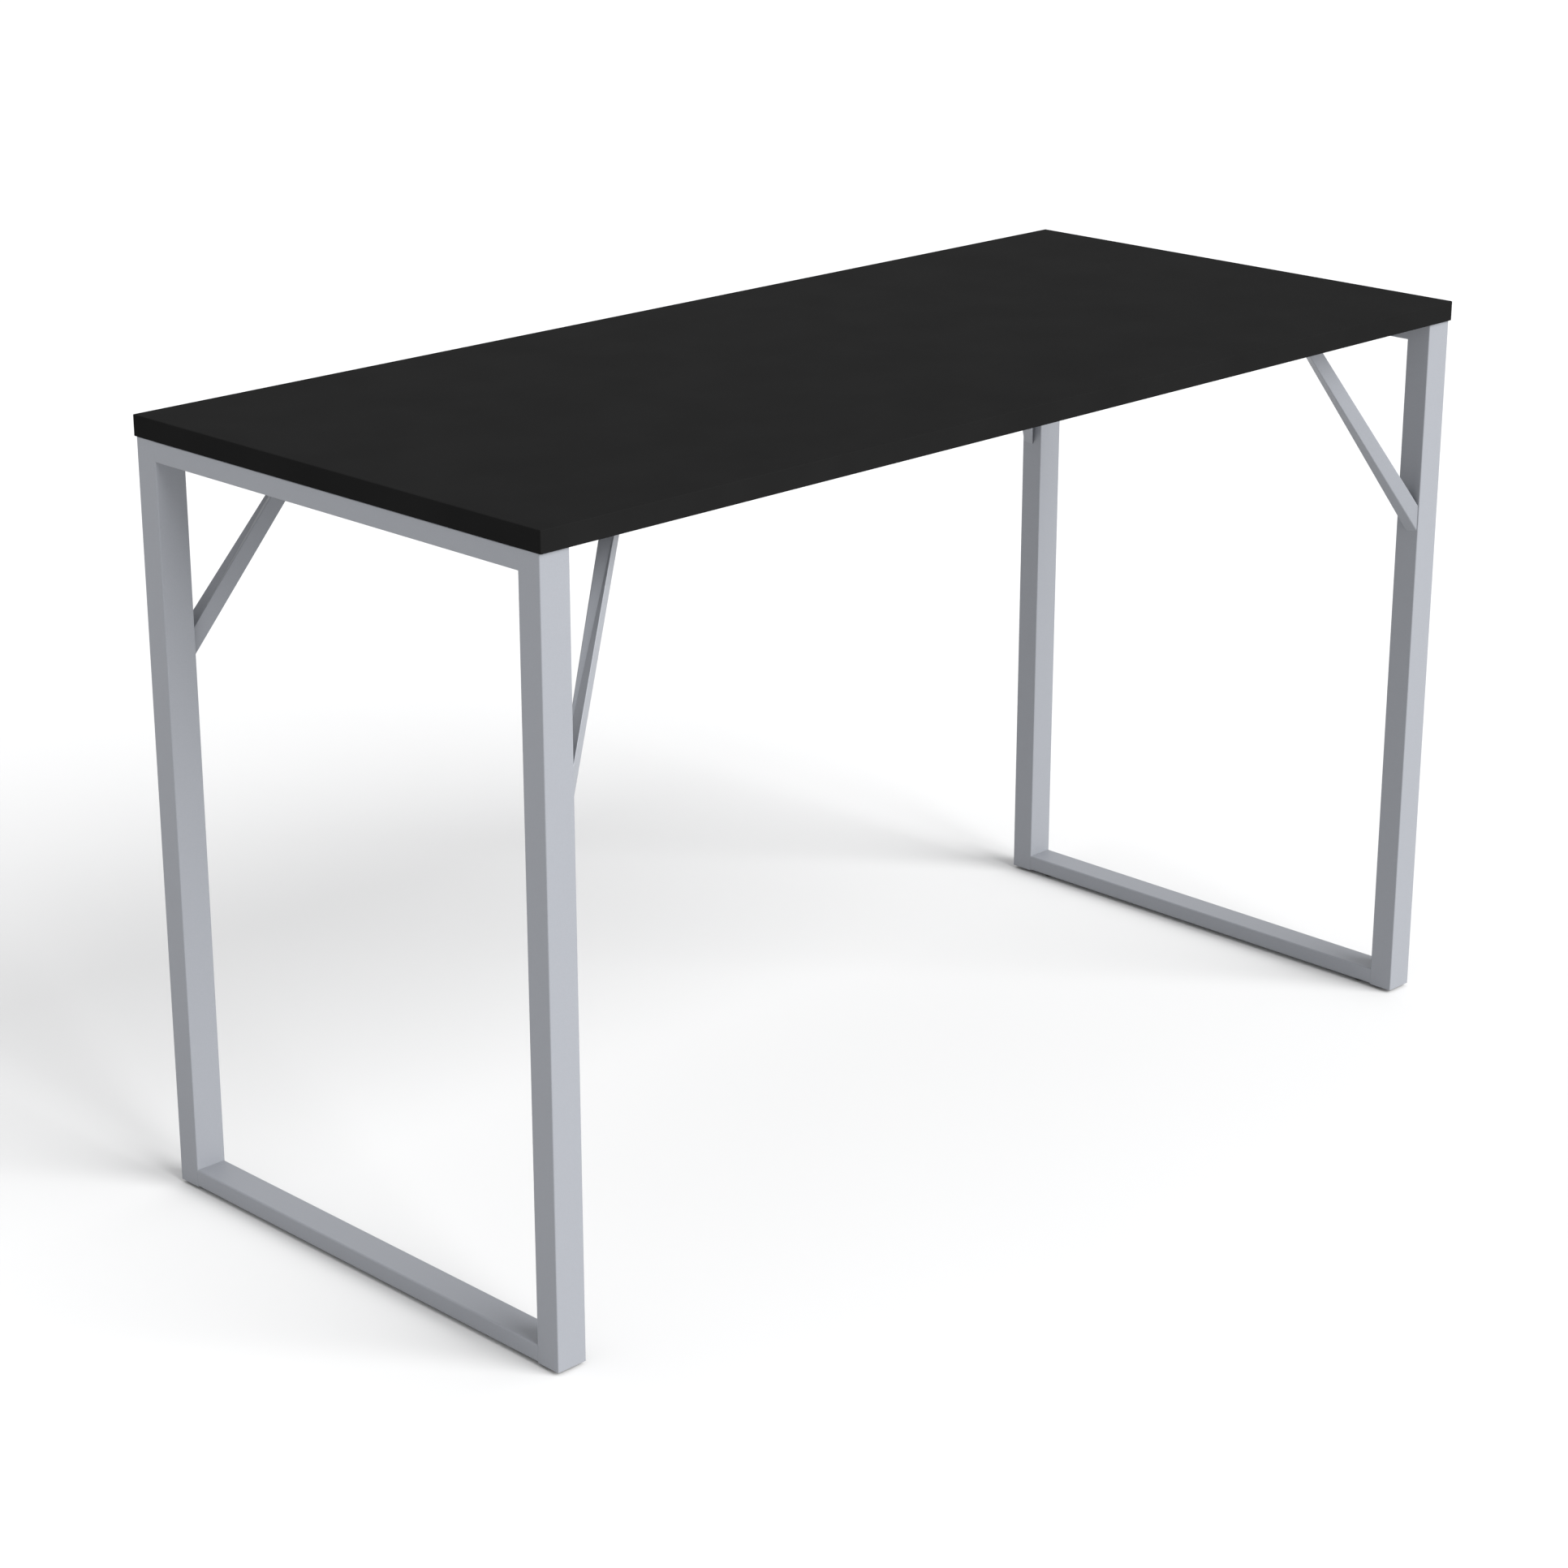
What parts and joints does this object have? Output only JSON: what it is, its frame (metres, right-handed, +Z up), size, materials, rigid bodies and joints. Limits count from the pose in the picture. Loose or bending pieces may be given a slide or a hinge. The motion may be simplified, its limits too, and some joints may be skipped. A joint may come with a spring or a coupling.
{
  "type": "bar-height table",
  "caption": "Bar-height rectangular table: black laminated top on silver tube end frames with diagonal braces and levelling feet.",
  "frame": {"origin": "on the floor, under the middle of the table", "axes": "+X along the table's length, +Y to its rear, +Z up"},
  "size_m": [1.8, 0.8, 1.1],
  "materials": {
    "black_laminate": "satin black melamine laminate on chipboard, fine even texture",
    "black_edge_band": "satin black ABS edge band",
    "silver_powder_coat": "satin silver-grey powder coat with a fine orange peel",
    "zinc_plated_steel": "bright zinc plate",
    "insert_brass": "plain machined",
    "black_plastic": "fine moulded texture"
  },
  "bodies": {
    "table": {"desktop_panel": "black_laminate", "front_edge_band": "black_edge_band", "rear_edge_band": "black_edge_band", "left_edge_band": "black_edge_band", "right_edge_band": "black_edge_band", "left_top_rail": "silver_powder_coat", "left_bottom_rail": "silver_powder_coat", "right_top_rail": "silver_powder_coat", "right_bottom_rail": "silver_powder_coat", "left_front_rail_bolt": "zinc_plated_steel", "left_middle_rail_bolt": "zinc_plated_steel", "left_rear_rail_bolt": "zinc_plated_steel", "right_front_rail_bolt": "zinc_plated_steel", "right_middle_rail_bolt": "zinc_plated_steel", "right_rear_rail_bolt": "zinc_plated_steel", "left_front_top_insert": "insert_brass", "left_middle_top_insert": "insert_brass", "left_rear_top_insert": "insert_brass", "right_front_top_insert": "insert_brass", "right_middle_top_insert": "insert_brass", "right_rear_top_insert": "insert_brass", "left_front_post": "silver_powder_coat", "left_front_end_cap": "black_plastic", "left_front_brace": "silver_powder_coat", "left_front_brace_plate": "silver_powder_coat", "left_front_outer_screw": "zinc_plated_steel", "left_front_inner_screw": "zinc_plated_steel", "left_front_foot_nut": "zinc_plated_steel", "left_rear_post": "silver_powder_coat", "left_rear_end_cap": "black_plastic", "left_rear_brace": "silver_powder_coat", "left_rear_brace_plate": "silver_powder_coat", "left_rear_outer_screw": "zinc_plated_steel", "left_rear_inner_screw": "zinc_plated_steel", "left_rear_foot_nut": "zinc_plated_steel", "right_front_post": "silver_powder_coat", "right_front_end_cap": "black_plastic", "right_front_brace": "silver_powder_coat", "right_front_brace_plate": "silver_powder_coat", "right_front_outer_screw": "zinc_plated_steel", "right_front_inner_screw": "zinc_plated_steel", "right_front_foot_nut": "zinc_plated_steel", "right_rear_post": "silver_powder_coat", "right_rear_end_cap": "black_plastic", "right_rear_brace": "silver_powder_coat", "right_rear_brace_plate": "silver_powder_coat", "right_rear_outer_screw": "zinc_plated_steel", "right_rear_inner_screw": "zinc_plated_steel", "right_rear_foot_nut": "zinc_plated_steel"},
    "left_front_foot": {"left_front_foot_pad": "black_plastic", "left_front_foot_stud": "zinc_plated_steel"},
    "left_rear_foot": {"left_rear_foot_pad": "black_plastic", "left_rear_foot_stud": "zinc_plated_steel"},
    "right_front_foot": {"right_front_foot_pad": "black_plastic", "right_front_foot_stud": "zinc_plated_steel"},
    "right_rear_foot": {"right_rear_foot_pad": "black_plastic", "right_rear_foot_stud": "zinc_plated_steel"}
  },
  "joints": [
    {"name": "left_front_levelling", "type": "slide", "parent": "table", "child": "left_front_foot", "axis": [0, 0, -1], "range_m": [0, 0.01]},
    {"name": "left_rear_levelling", "type": "slide", "parent": "table", "child": "left_rear_foot", "axis": [0, 0, -1], "range_m": [0, 0.01]},
    {"name": "right_front_levelling", "type": "slide", "parent": "table", "child": "right_front_foot", "axis": [0, 0, -1], "range_m": [0, 0.01]},
    {"name": "right_rear_levelling", "type": "slide", "parent": "table", "child": "right_rear_foot", "axis": [0, 0, -1], "range_m": [0, 0.01]}
  ]
}
